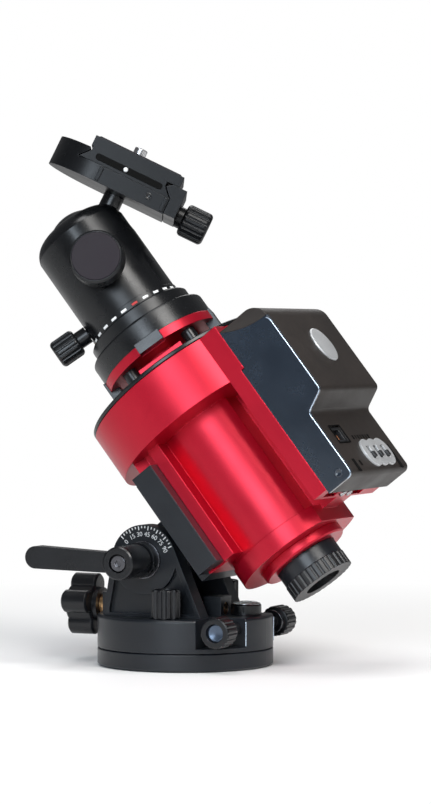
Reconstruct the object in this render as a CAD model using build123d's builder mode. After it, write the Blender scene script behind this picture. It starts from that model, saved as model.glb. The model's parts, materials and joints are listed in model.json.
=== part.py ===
from build123d import *
import os
from math import atan2, cos, degrees, pi, radians, sin, sqrt

# Star tracker mount. Row frame in millimetres: +Z up, origin at the centre of the face that sits on
# the tripod. The polar axis climbs towards -X, the lock lever side is -Y.
# HEAD is the tracker's own frame: x = u (away from the wedge), y = v (same as row Y), z = a (up the
# polar axis), with its origin where that axis leaves the drum's rim.

BOTTOM = (Align.CENTER, Align.CENTER, Align.MIN)
ALONG_X = (0, 90, 0)
ALONG_Y = (-90, 0, 0)

PLAY = 0.05  # radial clearance of every running fit
GAP = 0.1  # gap between faces that slide past each other

# Azimuth base
BASE_R = 41.4
DISC_TOP = 8.2
BASE_LOW = 8.6
BASE_TOP = 24.0
SPIGOT_R = 15.0
SPIGOT_TOP = 17.05
SHELF_TOP = 17.0
BOLT_HEAD_R = 17.8
BOLT_HEAD_H = 2.5
TRIPOD_THREAD_R = 4.0
TRIPOD_THREAD_DEPTH = 9.5
PIVOT_R = 3.0
POST_X = 33.0
POST_R = 4.5
POST_TOP = 21.4
LOCK_X, LOCK_Y = 5.3, 33.0
LOCK_STUD_R = 2.5
LOCK_KNOB_R = 6.8
LOCK_KNOB_H = 13.5
AZIMUTH_SWING = 9.0  # half-width in degrees of the slots that let the base turn
SCREW_Z = 18.8
SCREW_R = 3.0
SCREW_KNOB_R = 7.2
SCREW_FACE_Y = 40.0
LEVEL_X, LEVEL_Y = 29.0, 5.0
LEVEL_R = 7.25

# Altitude axis and arms
LATITUDE = 52.0
AXIS_X, AXIS_Z = -10.0, 50.3
ARM_R = 16.3
ARM_INNER, ARM_OUTER = 15.6, 24.6
FOOT_LOW_X, FOOT_HIGH_X = -31.0, 19.0
BOLT_R = 4.0
BARREL_R = 12.0

# Altitude worm drive
MODULE = 0.8
SECTOR_TEETH = 45  # teeth of the full circle the sector is cut from
SECTOR_R = MODULE * SECTOR_TEETH / 2
WORM_R = 5.6
WORM_Z = AXIS_Z - SECTOR_R - WORM_R
WORM_PITCH = pi * MODULE
WORM_ROOT_R, WORM_TIP_R = 4.6, 6.4
WORM_SHAFT_R = 4.8
SECTOR_FACE = 5.0

# Tracker head, in the HEAD frame
HEAD_U, HEAD_A = 57.3, 60.2  # polar axis and rim plane seen from the altitude axis
DRUM_R, DRUM_H, DRUM_CAVITY_R = 48.5, 25.0, 45.0
DRUM_FLOOR_A = -21.0
BODY_R, BODY_FLAT_U = 30.0, 21.0
RING_R, RING_TOP_A, RING_LOW_A = 31.0, -89.7, -98.5
RING_FLAT_U = 24.0
PLATE_U0, PLATE_U1, PLATE_V = 32.5, 40.2, 36.0
PLATE_LOW_A, PLATE_STEP_A, PLATE_STEP_U = -92.0, -24.0, 42.0
RAIL_U0, RAIL_U1, RAIL_V, RAIL_LOW_A = -29.9, -14.0, 36.0, -87.5
RAIL_NECK_V = 31.5
JAW_TOP_U, JAW_V = -20.1, 43.0
SADDLE_U0, SADDLE_U1 = -38.0, -30.0
SADDLE_A0, SADDLE_A1 = -86.5, -32.2
JAW_BAR_U, JAW_BAR_V = -31.6, -28.0  # the fixed jaw's side of the saddle is thinner
JAW_SCREW_A = (-48.0, -71.0)
JAW_SCREW_U = -34.0
CASE_U0, CASE_U1, CASE_STEP_U, CASE_V = 40.3, 65.8, 54.8, 36.0
CASE_A1, CASE_STEP_HIGH, CASE_STEP_LOW, CASE_A0 = -4.0, -54.3, -59.4, -94.0
CASE_NECK_U, CASE_NECK_A = 42.1, -24.5  # the case stands off the thicker end of the plate
CASE_WALL = 2.0
COVER_T = 2.2
SHAFT_R, SHAFT_BORE_R = 15.0, 12.4
BEARING_R, BEARING_H = 21.0, 7.0
SCOPE_R, SCOPE_BODY_R, SCOPE_RING_R = 11.8, 15.5, 15.8

# Polar axis worm drive
WHEEL_TEETH = 144
WHEEL_MODULE = 0.5
WHEEL_R = WHEEL_TEETH * WHEEL_MODULE / 2
WHEEL_A = -14.0
WHEEL_FACE = 3.6
FINE_WORM_R = 4.0
FINE_ROOT_R = 3.4
FINE_U = WHEEL_R + FINE_WORM_R
FINE_PITCH = pi * WHEEL_MODULE
FINE_JOURNAL_R = 2.0
PULLEY_R, PULLEY_V0, PULLEY_V1 = 4.5, 15.2, 20.2
MOTOR_U, MOTOR_A, MOTOR_R = 49.2, -36.0, 6.5
BELT_T = 1.1

# Camera adapter on the polar axis
CROWN_R, CROWN_LOW, CROWN_TOP = 30.4, 18.5, 29.0
CROWN_FACE_DEG = -73.0  # direction of the front tongue, from +u towards +v
STUD_R = 4.75

# Ball head
BALL_A, BALL_R = 79.5, 19.0
HEAD_BODY_R, HEAD_LOW, HEAD_SHOULDER, HEAD_MOUTH = 23.2, 40.0, 87.0, 93.0
MOUTH_R = 13.7
NOTCH_DEG = 15.0  # direction of the drop notch, from +u towards +v
KNOB_DEG = 22.0  # the knobs stand square to this direction
MAIN_KNOB_A, PAN_KNOB_A = 63.0, 45.0
STEM_TILT = 61.5
STEM_R = 5.0
PAN_PIN_R = 14.0
CLAMP_H = 28.7  # clamp's underside, from the ball's centre along the stem
CLAMP_TWIST = 15.0


def head_frame():
    tilt = radians(LATITUDE)
    out = Vector(sin(tilt), 0, cos(tilt))
    up = Vector(-cos(tilt), 0, sin(tilt))
    origin = Vector(AXIS_X, 0, AXIS_Z) + out * HEAD_U + up * HEAD_A
    return Plane(origin=origin, x_dir=out, z_dir=up)


HEAD = head_frame()
CROWN = Plane(HEAD.location * Rotation(0, 0, CROWN_FACE_DEG))
NOTCH = Plane(HEAD.location * Pos(0, 0, BALL_A) * Rotation(0, 0, NOTCH_DEG))
KNOBS = Plane(HEAD.location * Rotation(0, 0, KNOB_DEG))
STEM = Plane(NOTCH.location * Rotation(0, STEM_TILT, 0))
CLAMP = Plane(STEM.location * Rotation(0, 0, CLAMP_TWIST) * Pos(0, 0, CLAMP_H))


def save(piece, name):
    piece.part.label = name
    export_step(piece.part, f"parts/{name}.step")


def rod(radius, x, y, low, high, mode=Mode.ADD):
    """A cylinder along the workplane's own z, from low to high."""
    with Locations((x, y, low)):
        Cylinder(radius, high - low, align=BOTTOM, mode=mode)


def rod_x(radius, y, z, low, high, mode=Mode.ADD):
    with Locations((low, y, z)):
        Cylinder(radius, high - low, rotation=ALONG_X, align=BOTTOM, mode=mode)


def rod_y(radius, x, z, low, high, mode=Mode.ADD):
    with Locations((x, low, z)):
        Cylinder(radius, high - low, rotation=ALONG_Y, align=BOTTOM, mode=mode)


def block(x0, x1, y0, y1, z0, z1, mode=Mode.ADD):
    with Locations(((x0 + x1) / 2, (y0 + y1) / 2, (z0 + z1) / 2)):
        Box(x1 - x0, y1 - y0, z1 - z0, mode=mode)


def fluted_disc(plane, radius, flute_r, inset, count):
    """Round face with flutes cut into its rim, for knobs; inset moves the flutes outwards."""
    with BuildSketch(plane) as face:
        Circle(radius)
        with PolarLocations(radius + inset, count):
            Circle(flute_r, mode=Mode.SUBTRACT)
    return face.sketch


def fluted_knob(plane, face, radius, height, rounding):
    """Knob standing on the plane: the fluted face extruded, then both rims rounded over."""
    extrude(face, amount=height)
    with BuildSketch(Plane(plane.location * Rotation(90, 0, 0))) as half:
        with Locations((radius / 2, height / 2)):
            Rectangle(radius, height)
        fillet(half.vertices().sort_by(Axis.X)[-2:], rounding)
    revolve(half.sketch, axis=Axis(plane.origin, plane.z_dir), mode=Mode.INTERSECT)


def big_rims(piece, radius):
    """The circular edges of a piece that are as wide as radius."""
    circles = piece.edges().filter_by(GeomType.CIRCLE)
    return circles.filter_by(lambda edge: edge.radius > radius - 0.05)


def gear_points(teeth, step, first, root, tip, root_width, tip_width):
    """Corners of straight-flanked teeth, in order, on centres that are step degrees apart."""
    points = []
    for k in range(teeth):
        centre = first + k * step
        half_root = degrees(root_width / 2 / root)
        half_tip = degrees(tip_width / 2 / tip)
        for radius, angle in (
            (root, centre - half_root),
            (tip, centre - half_tip),
            (tip, centre + half_tip),
            (root, centre + half_root),
        ):
            points.append((radius * cos(radians(angle)), radius * sin(radians(angle))))
    return points


# ---------------------------------------------------------------- fixed base


def make_tripod_disc():
    with BuildPart() as tripod_disc:
        rod(BASE_R, 0, 0, 0, DISC_TOP)
        chamfer(tripod_disc.edges().group_by(Axis.Z)[0], 1.0)
        chamfer(tripod_disc.edges().group_by(Axis.Z)[-1], 0.4)
        rod(SPIGOT_R, 0, 0, DISC_TOP, SPIGOT_TOP)
        rod(TRIPOD_THREAD_R, 0, 0, 0, TRIPOD_THREAD_DEPTH, Mode.SUBTRACT)
        rod(PIVOT_R + PLAY, 0, 0, TRIPOD_THREAD_DEPTH + 1, SPIGOT_TOP, Mode.SUBTRACT)
        rod(PIVOT_R + PLAY, POST_X, 0, 2, DISC_TOP, Mode.SUBTRACT)
        for side in (-1, 1):
            rod(LOCK_STUD_R + PLAY, LOCK_X, side * LOCK_Y, 2, DISC_TOP, Mode.SUBTRACT)
    save(tripod_disc, "tripod_disc")


def make_azimuth_post():
    with BuildPart() as azimuth_post:
        rod(PIVOT_R, POST_X, 0, 2 + GAP, DISC_TOP)
        rod(POST_R, POST_X, 0, DISC_TOP, POST_TOP)
        chamfer(azimuth_post.edges().group_by(Axis.Z)[-1], 0.6)
    save(azimuth_post, "azimuth_post")


def make_pivot_bolt():
    head_low = SPIGOT_TOP + PLAY
    with BuildPart() as pivot_bolt:
        rod(PIVOT_R, 0, 0, TRIPOD_THREAD_DEPTH + 1 + GAP, head_low)
        rod(BOLT_HEAD_R, 0, 0, head_low, head_low + BOLT_HEAD_H)
        chamfer(pivot_bolt.edges().group_by(Axis.Z)[-1], 0.6)
        with BuildSketch(Plane.XY.offset(head_low + BOLT_HEAD_H - 1.8)):
            RegularPolygon(3.0, 6)
        extrude(amount=1.8, mode=Mode.SUBTRACT)
    save(pivot_bolt, "pivot_bolt")


# ---------------------------------------------------------------- turning base


def arm_outline(inset, eye):
    """Arm seen from the side: a round head over a wide foot; eye is the radius cut from the head."""
    with BuildSketch(Plane.XY) as outline:
        with Locations((AXIS_X, AXIS_Z)):
            Circle(ARM_R - inset)
        with Locations(((FOOT_LOW_X + FOOT_HIGH_X) / 2, BASE_TOP - 1 + inset)):
            Rectangle(FOOT_HIGH_X - FOOT_LOW_X - 2 * inset, 2)
        make_hull()
        with Locations((AXIS_X, AXIS_Z)):
            Circle(eye, mode=Mode.SUBTRACT)
    return outline.sketch


def make_wedge_base():
    trough_r = WORM_TIP_R + 0.6
    with BuildPart() as wedge_base:
        rod(BASE_R, 0, 0, BASE_LOW, BASE_TOP)
        fillet(wedge_base.edges().group_by(Axis.Z)[-1], 1.4)
        rod(SPIGOT_R + PLAY, 0, 0, BASE_LOW, SHELF_TOP, Mode.SUBTRACT)
        rod(BOLT_HEAD_R + 0.5, 0, 0, SHELF_TOP, BASE_TOP, Mode.SUBTRACT)
        # worm bearings, rear boss and front pillow, over a trough that clears the worm
        rod_x(trough_r, 0, WORM_Z, -43, 12, Mode.SUBTRACT)
        block(-39, -27, -9, 9, 18, 33.2)
        block(12, 21, -6, 6, 20.4, 32.6)
        rod_x(6.55, 0, WORM_Z, -39, -27, Mode.SUBTRACT)
        rod_x(3.0 + PLAY, 0, WORM_Z, 12, 21, Mode.SUBTRACT)
        # arms with a lightening pocket on each outer face
        for side in (-1, 1):
            inner = Plane.XZ.offset(-side * ARM_INNER)
            extrude(inner.location * arm_outline(0, BOLT_R), amount=-side * (ARM_OUTER - ARM_INNER))
            outer = Plane.XZ.offset(-side * ARM_OUTER)
            extrude(outer.location * arm_outline(3.2, ARM_R), amount=side * 2.5, mode=Mode.SUBTRACT)
        rod_y(BOLT_R + PLAY, AXIS_X, AXIS_Z, -30, 30, Mode.SUBTRACT)
        # room for the fixed post and for the lock studs as the base turns
        block(POST_X - 5.4, POST_X + 5.4, -9.4, 9.4, BASE_LOW, POST_TOP + 0.4, Mode.SUBTRACT)
        for side in (-1, 1):
            centre = side * degrees(atan2(LOCK_Y, LOCK_X))
            arc = CenterArc(
                (0, 0),
                sqrt(LOCK_X**2 + LOCK_Y**2),
                centre - AZIMUTH_SWING,
                2 * AZIMUTH_SWING,
                mode=Mode.PRIVATE,
            )
            with BuildSketch(Plane.XY.offset(BASE_LOW)):
                SlotArc(arc, 2 * (LOCK_STUD_R + 0.3))
            extrude(amount=BASE_TOP - BASE_LOW, mode=Mode.SUBTRACT)
        # thumbscrew pockets and their tapped holes
        for side in (-1, 1):
            low, high = sorted((side * 16, side * 43))
            block(21.5, 43, low, high, 10.6, BASE_TOP, Mode.SUBTRACT)
        rod_y(SCREW_R + PLAY, POST_X, SCREW_Z, -20, 20, Mode.SUBTRACT)
        # seat of the bubble level
        rod(LEVEL_R - 1.2, LEVEL_X, LEVEL_Y, BASE_TOP - 1, BASE_TOP, Mode.SUBTRACT)
    save(wedge_base, "wedge_base")


def make_level():
    cup_low, cup_high = BASE_TOP, 29.0
    with BuildPart() as level_cup:
        rod(LEVEL_R - 1.3, LEVEL_X, LEVEL_Y, cup_low - 0.9, cup_low)
        rod(LEVEL_R, LEVEL_X, LEVEL_Y, cup_low, cup_high)
        chamfer(level_cup.edges().group_by(Axis.Z)[-1], 0.6)
        rod(LEVEL_R - 1.3, LEVEL_X, LEVEL_Y, cup_low + 0.6, cup_high, Mode.SUBTRACT)
    save(level_cup, "level_cup")
    with BuildPart() as level_vial:
        rod(LEVEL_R - 1.35, LEVEL_X, LEVEL_Y, cup_low + 0.7, cup_high + 1.0)
        fillet(level_vial.edges().group_by(Axis.Z)[-1], 1.0)
        with Locations((LEVEL_X, LEVEL_Y, cup_low + 2.6)):
            Cylinder(LEVEL_R - 2.6, 2.4, align=BOTTOM, mode=Mode.SUBTRACT)
    save(level_vial, "level_vial")


def make_azimuth_screw(side, name):
    """Thumbscrew that pushes on the fixed post; side is the sign of its Y."""
    along = Plane(origin=(POST_X, 0, SCREW_Z), x_dir=(1, 0, 0), z_dir=(0, side, 0))
    knob_low = SCREW_FACE_Y - 10.5
    seat = along.offset(knob_low)
    face = fluted_disc(seat, SCREW_KNOB_R, 0.8, 0.3, 18)
    with BuildPart(along) as screw:
        fluted_knob(seat, face, SCREW_KNOB_R, SCREW_FACE_Y - knob_low, 1.0)
        rod(SCREW_R, 0, 0, POST_R + PLAY, knob_low)
        rod(SCREW_R + 2.2, 0, 0, knob_low - 3.5, knob_low)
        rod(4.3, 0, 0, SCREW_FACE_Y - 3.5, SCREW_FACE_Y, Mode.SUBTRACT)
    save(screw, name)


def make_azimuth_lock(side, name):
    seat = Plane(origin=(LOCK_X, side * LOCK_Y, BASE_TOP + GAP))
    face = fluted_disc(seat, LOCK_KNOB_R, 1.5, 0.5, 10)
    with BuildPart(seat) as lock:
        fluted_knob(seat, face, LOCK_KNOB_R, LOCK_KNOB_H, 1.0)
        rod(LOCK_STUD_R, 0, 0, 2 - BASE_TOP, 0)
        rod(LOCK_KNOB_R - 1.4, 0, 0, LOCK_KNOB_H - 0.6, LOCK_KNOB_H, Mode.SUBTRACT)
    save(lock, name)


# ---------------------------------------------------------------- altitude pivot and lever


def make_altitude_bolt():
    with BuildPart() as altitude_bolt:
        rod_y(BOLT_R, AXIS_X, AXIS_Z, -40, ARM_OUTER + GAP)
        with BuildSketch(Plane.XZ.offset(-(ARM_OUTER + GAP))):
            with Locations((AXIS_X, AXIS_Z)):
                RegularPolygon(7.2, 6)
        extrude(amount=-5.2)
    save(altitude_bolt, "altitude_bolt")


def make_lever_parts():
    with BuildPart() as lever_washer:
        rod_y(8.8, AXIS_X, AXIS_Z, -26.2, -ARM_OUTER - PLAY)
        rod_y(BOLT_R + PLAY, AXIS_X, AXIS_Z, -27, -24, Mode.SUBTRACT)
    save(lever_washer, "lever_washer")
    with BuildPart() as lever_insert:
        rod_y(8.3, AXIS_X, AXIS_Z, -31.0, -26.3)
        rod_y(6.0, AXIS_X, AXIS_Z, -45.0, -31.0)
        rod_y(BOLT_R + PLAY, AXIS_X, AXIS_Z, -40.2, -26.3, Mode.SUBTRACT)
        rod_y(2.05, AXIS_X, AXIS_Z, -45.0, -41.0, Mode.SUBTRACT)
    save(lever_insert, "lever_insert")
    with BuildPart() as lever_screw:
        rod_y(2.0, AXIS_X, AXIS_Z, -50.4, -41.2)
        rod_y(3.6, AXIS_X, AXIS_Z, -51.8, -50.2)
        with BuildSketch(Plane.XZ.offset(51.8)):
            with Locations((AXIS_X, AXIS_Z)):
                RegularPolygon(1.7, 6)
        extrude(amount=-1.1, mode=Mode.SUBTRACT)
    save(lever_screw, "lever_screw")
    hub_r, hub_face = 7.7, -52.4
    with BuildPart() as lock_lever:
        rod_y(hub_r, AXIS_X, AXIS_Z, hub_face, -33.0)
        arm = Plane.XZ.offset(43.8)
        with BuildSketch(arm):
            with Locations((AXIS_X, AXIS_Z)):
                Circle(4.6)
            with Locations((AXIS_X - 42.8, AXIS_Z + 1.6)):
                Circle(5.2)
            make_hull()
        extrude(amount=7.8)
        rod_y(6.0 + PLAY, AXIS_X, AXIS_Z, -45.1, -33.0, Mode.SUBTRACT)
        rod_y(2.3, AXIS_X, AXIS_Z, -46.4, -45.1, Mode.SUBTRACT)
        rod_y(4.4, AXIS_X, AXIS_Z, hub_face, -46.4, Mode.SUBTRACT)
        outer = lock_lever.faces().sort_by(Axis.Y)[0]
        chamfer(outer.outer_wire().edges(), 0.6)
    save(lock_lever, "lock_lever")


# ---------------------------------------------------------------- altitude worm and sector


def make_worm_bush():
    with BuildPart() as worm_bush:
        rod_x(6.5, 0, WORM_Z, -39.05, -27)
        rod_x(6.9, 0, WORM_Z, -39.7, -39.05)
        rod_x(WORM_SHAFT_R + PLAY, 0, WORM_Z, -40, -27, Mode.SUBTRACT)
    save(worm_bush, "worm_bush")


def make_altitude_worm():
    turns = 9
    # the helix starts at its top, and whole turns from there put a crest under the sector's gap
    start_x = AXIS_X - 4 * WORM_PITCH
    with BuildPart() as altitude_worm:
        with BuildLine() as thread_path:
            Helix(
                pitch=WORM_PITCH,
                height=turns * WORM_PITCH,
                radius=WORM_ROOT_R,
                center=(start_x, 0, WORM_Z),
                direction=(1, 0, 0),
            )
        start = thread_path.line @ 0
        radial = (start - Vector(start_x, 0, WORM_Z)).normalized()
        with BuildSketch(Plane(origin=start, x_dir=radial, z_dir=thread_path.line % 0)):
            with BuildLine():
                Polyline((-0.3, -0.75), (1.8, -0.25), (1.8, 0.25), (-0.3, 0.75), close=True)
            make_face()
        sweep(is_frenet=True)
        rod_x(WORM_ROOT_R, 0, WORM_Z, start_x - 2, start_x + turns * WORM_PITCH + 2)
        rod_x(WORM_SHAFT_R, 0, WORM_Z, -43.2, start_x - 2)
        rod_x(3.5, 0, WORM_Z, -56.0, -43.2)
        rod_x(3.0, 0, WORM_Z, start_x + turns * WORM_PITCH + 2, 20.6)
    save(altitude_worm, "altitude_worm")


def make_altitude_knob():
    face = Plane(origin=(-59.0, 0, WORM_Z), x_dir=(0, 1, 0), z_dir=(1, 0, 0))
    with BuildPart(face) as altitude_knob:
        with BuildSketch(face):
            Circle(9.6)
            with PolarLocations(9.2, 4, start_angle=80):
                Circle(5.4)
        extrude(amount=13.5)
        chamfer(altitude_knob.faces().sort_by(Axis.X)[0].outer_wire().edges(), 0.9)
        chamfer(altitude_knob.faces().sort_by(Axis.X)[-1].outer_wire().edges(), 0.9)
        rod(8.0, 0, 0, 13.0, 15.7)
        rod(3.5, 0, 0, 2.9, 16.0, Mode.SUBTRACT)
    save(altitude_knob, "altitude_knob")


def make_altitude_sector():
    step = 360 / SECTOR_TEETH
    count = 11
    first = -90 + step / 2 - (count - 3) * step
    tooth_points = gear_points(count, step, first, SECTOR_R - 1.0, SECTOR_R + 0.7, 1.5, 0.55)
    face = Plane(origin=(AXIS_X, SECTOR_FACE / 2, AXIS_Z), x_dir=(1, 0, 0), z_dir=(0, -1, 0))
    with BuildPart() as altitude_sector:
        with BuildSketch(face):
            with BuildLine():
                Polyline((0, 0), *tooth_points, close=True)
            make_face()
            Circle(BARREL_R - 0.5)
            Circle(BOLT_R + PLAY, mode=Mode.SUBTRACT)
        extrude(amount=SECTOR_FACE)
    save(altitude_sector, "altitude_sector")


# ---------------------------------------------------------------- tilting saddle


def make_tilt_saddle():
    half = ARM_INNER - 0.2
    with BuildPart(HEAD) as tilt_saddle:
        rod_y(BARREL_R, -HEAD_U, -HEAD_A, -half, half)
        block(-HEAD_U, SADDLE_U1 - 1, -half, half, -HEAD_A - 11, -HEAD_A + 11)
        block(SADDLE_U0, SADDLE_U1, JAW_BAR_V, 35.0, SADDLE_A0, SADDLE_A1)
        block(JAW_BAR_U, SADDLE_U1, -JAW_V, JAW_BAR_V + 1, SADDLE_A0, SADDLE_A1)
        rod_y(BOLT_R + PLAY, -HEAD_U, -HEAD_A, -20, 20, Mode.SUBTRACT)
        block(-HEAD_U - 20, -HEAD_U + 12.6, -2.6, 2.6, -HEAD_A - 19.4, -HEAD_A + 19.4, Mode.SUBTRACT)
        # fixed jaw, hooked into the rail's neck
        with BuildSketch(HEAD.offset(SADDLE_A0)):
            with BuildLine():
                Polyline(
                    (SADDLE_U1 - 1, -JAW_V),
                    (JAW_TOP_U, -JAW_V),
                    (JAW_TOP_U, -RAIL_NECK_V - GAP),
                    (-24.5, -RAIL_NECK_V - GAP),
                    (SADDLE_U1, -35.2),
                    (SADDLE_U1 - 1, -35.2),
                    close=True,
                )
            make_face()
        extrude(amount=SADDLE_A1 - SADDLE_A0)
        for a in JAW_SCREW_A:
            rod_y(2.05, JAW_SCREW_U, a, 20, 35, Mode.SUBTRACT)
    save(tilt_saddle, "tilt_saddle")


def make_saddle_jaw():
    with BuildPart(HEAD) as saddle_jaw:
        with BuildSketch(HEAD.offset(SADDLE_A0)):
            with BuildLine():
                Polyline(
                    (SADDLE_U0, 35.1),
                    (SADDLE_U1, 35.1),
                    (-24.5, RAIL_NECK_V + GAP),
                    (JAW_TOP_U, RAIL_NECK_V + GAP),
                    (JAW_TOP_U, JAW_V),
                    (SADDLE_U0, JAW_V),
                    close=True,
                )
            make_face()
        extrude(amount=SADDLE_A1 - SADDLE_A0)
        for a in JAW_SCREW_A:
            rod_y(2.05, JAW_SCREW_U, a, 35, 44, Mode.SUBTRACT)
            rod_y(3.6, JAW_SCREW_U, a, 39, 44, Mode.SUBTRACT)
    save(saddle_jaw, "saddle_jaw")
    with BuildPart(HEAD) as jaw_screws:
        for a in JAW_SCREW_A:
            rod_y(2.0, JAW_SCREW_U, a, 21, 39.1)
            rod_y(3.5, JAW_SCREW_U, a, 39.1, 42.4)
            rod_y(1.6, JAW_SCREW_U, a, 41.0, 42.4, Mode.SUBTRACT)
    save(jaw_screws, "jaw_screws")


# ---------------------------------------------------------------- tracker housing


def make_tracker_housing():
    with BuildPart(HEAD) as tracker_housing:
        rod(DRUM_R, 0, 0, -DRUM_H, -0.2)
        rod(BODY_R, 0, 0, RING_TOP_A, -DRUM_H)
        block(BODY_FLAT_U, 34, -33, 33, RING_TOP_A, -DRUM_H, Mode.SUBTRACT)
        rod(RING_R, 0, 0, RING_LOW_A, RING_TOP_A)
        block(RING_FLAT_U, RING_R + 1, -RING_R, RING_R, RING_LOW_A, RING_TOP_A, Mode.SUBTRACT)
        block(RAIL_U0, RAIL_U1, -RAIL_V, RAIL_V, RAIL_LOW_A, -DRUM_H)
        for side in (-1, 1):
            with BuildSketch(HEAD.offset(RAIL_LOW_A)):
                with BuildLine():
                    Polyline(
                        (RAIL_U0 - 1, side * 37),
                        (-20.0, side * 37),
                        (-20.0, side * RAIL_NECK_V),
                        (-24.5, side * RAIL_NECK_V),
                        (RAIL_U0, side * 34.9),
                        (RAIL_U0 - 1, side * 34.9),
                        close=True,
                    )
                make_face()
            extrude(amount=-DRUM_H - RAIL_LOW_A, mode=Mode.SUBTRACT)
        # back plate and its central web
        block(PLATE_U0, PLATE_U1, -PLATE_V, PLATE_V, PLATE_LOW_A, PLATE_STEP_A)
        block(PLATE_U0, PLATE_STEP_U, -PLATE_V, PLATE_V, PLATE_STEP_A, -0.2)
        block(BODY_FLAT_U - 1, PLATE_U0 + 1, -9, 9, PLATE_LOW_A, -DRUM_H)
        # two blind pockets in the plate's lower end
        for centre in (-21.5, 9.5):
            block(33.9, 38.9, centre - 7, centre + 7, PLATE_LOW_A, PLATE_LOW_A + 6, Mode.SUBTRACT)
        # drum cavity, bearing seats and bore
        rod(DRUM_CAVITY_R, 0, 0, DRUM_FLOOR_A, 0, Mode.SUBTRACT)
        rod(SHAFT_R + 0.8, 0, 0, RING_LOW_A, DRUM_FLOOR_A, Mode.SUBTRACT)
        rod(BEARING_R + PLAY, 0, 0, DRUM_FLOOR_A - BEARING_H, DRUM_FLOOR_A, Mode.SUBTRACT)
        rod(BEARING_R + PLAY, 0, 0, RING_LOW_A, -89.0, Mode.SUBTRACT)
        # worm bearings on the drum floor
        for low in (-12.2, 8.2):
            block(36.2, 43.6, low, low + 4, DRUM_FLOOR_A, WHEEL_A + 3.4)
        rod_y(FINE_JOURNAL_R + PLAY, FINE_U, WHEEL_A, -13, 13, Mode.SUBTRACT)
        # window for the belt between drum and electronics
        block(34.6, 60, PULLEY_V0 - 1, PULLEY_V1 + 1, -46, -6, Mode.SUBTRACT)
    save(tracker_housing, "tracker_housing")


def make_bearings():
    with BuildPart(HEAD) as ra_bearings:
        for low in (DRUM_FLOOR_A - BEARING_H, -96.0):
            rod(BEARING_R, 0, 0, low + PLAY, low + BEARING_H)
            rod(SHAFT_R + PLAY, 0, 0, low, low + BEARING_H, Mode.SUBTRACT)
    save(ra_bearings, "ra_bearings")


def make_scope_collar():
    with BuildPart(HEAD) as scope_collar:
        rod(21.5, 0, 0, -103.0, RING_LOW_A - 0.05)
        chamfer(scope_collar.edges().group_by(Axis((0, 0, 0), tuple(HEAD.z_dir)))[0], 0.8)
        rod(BEARING_R - 0.1, 0, 0, RING_LOW_A - 0.1, -96.1)
        rod(SHAFT_R + 0.6, 0, 0, -104, -96, Mode.SUBTRACT)
    save(scope_collar, "scope_collar")


def case_profile(inset):
    """Side outline of the electronics case in (u, a)."""
    with BuildSketch(Plane.XY) as outline:
        with BuildLine():
            Polyline(
                (CASE_U0 + inset, CASE_A0 + inset),
                (CASE_STEP_U - inset, CASE_A0 + inset),
                (CASE_STEP_U - inset, CASE_STEP_LOW + inset),
                (CASE_U1 - inset, CASE_STEP_HIGH + inset),
                (CASE_U1 - inset, CASE_A1 - inset),
                (CASE_NECK_U + inset, CASE_A1 - inset),
                (CASE_NECK_U + inset, CASE_NECK_A - inset),
                (CASE_U0 + inset, CASE_NECK_A - inset),
                close=True,
            )
        make_face()
        outer = outline.vertices().filter_by(lambda p: p.X > CASE_STEP_U - inset - 0.1)
        top = outer.sort_by(Axis.Y)[-1]
        fillet([corner for corner in outer if corner != top], 3.0)
        fillet(outline.vertices().filter_by(lambda p: p.X > CASE_U1 - inset - 0.1).sort_by(Axis.Y)[-1], 8.0)
    return outline.sketch


def cover_reach(rise):
    """Everything below the cover's curved top edge, which rise lifts, in (u, a)."""
    low = CASE_A0 - 5
    with BuildSketch(Plane.XY) as reach:
        with BuildLine():
            ThreePointArc((38, -1.0 + rise), (52, -9.4 + rise), (68, -11.9 + rise))
            Polyline((68, -11.9 + rise), (68, low), (38, low), (38, -1.0 + rise))
        make_face()
    return reach.sketch


def side_plane(v):
    """Plane across the head at v, with x = u and y = a, facing -v."""
    return Plane(HEAD.location * Pos(0, v, 0) * Rotation(90, 0, 0))


def make_case():
    near = side_plane(-CASE_V).location
    floor = side_plane(-CASE_V + COVER_T + GAP).location
    shelf_low = -DRUM_H - 2
    with BuildPart(HEAD) as electronics_case:
        extrude(near * case_profile(0), amount=-2 * CASE_V)
        depth = 2 * CASE_V - COVER_T - GAP - CASE_WALL
        extrude(floor * case_profile(CASE_WALL), amount=-depth, mode=Mode.SUBTRACT)
        # curved wall and shelf round the drum
        with BuildSketch(HEAD.offset(shelf_low)):
            Circle(DRUM_R + 2.0)
            with Locations((CASE_NECK_U + 0.4 - 50, 0)):
                Rectangle(100, 120, mode=Mode.SUBTRACT)
        extrude(amount=CASE_A1 - shelf_low)
        rod(DRUM_R + 0.4, 0, 0, -DRUM_H - 0.4, 0, Mode.SUBTRACT)
        extrude(near * cover_reach(GAP), amount=-COVER_T - GAP, mode=Mode.SUBTRACT)
        # windows for the belt and the guide port
        block(40, 56, PULLEY_V0 - 1, PULLEY_V1 + 1, -40, -7, Mode.SUBTRACT)
        block(52, 56, -25.5, -12.5, -76.5, -67.5, Mode.SUBTRACT)
    save(electronics_case, "electronics_case")
    with BuildSketch(Plane.XY) as outline:
        add(case_profile(0))
        add(cover_reach(0), mode=Mode.INTERSECT)
    with BuildPart() as case_side_cover:
        extrude(near * outline.sketch, amount=-COVER_T)
    save(case_side_cover, "case_side_cover")


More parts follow.
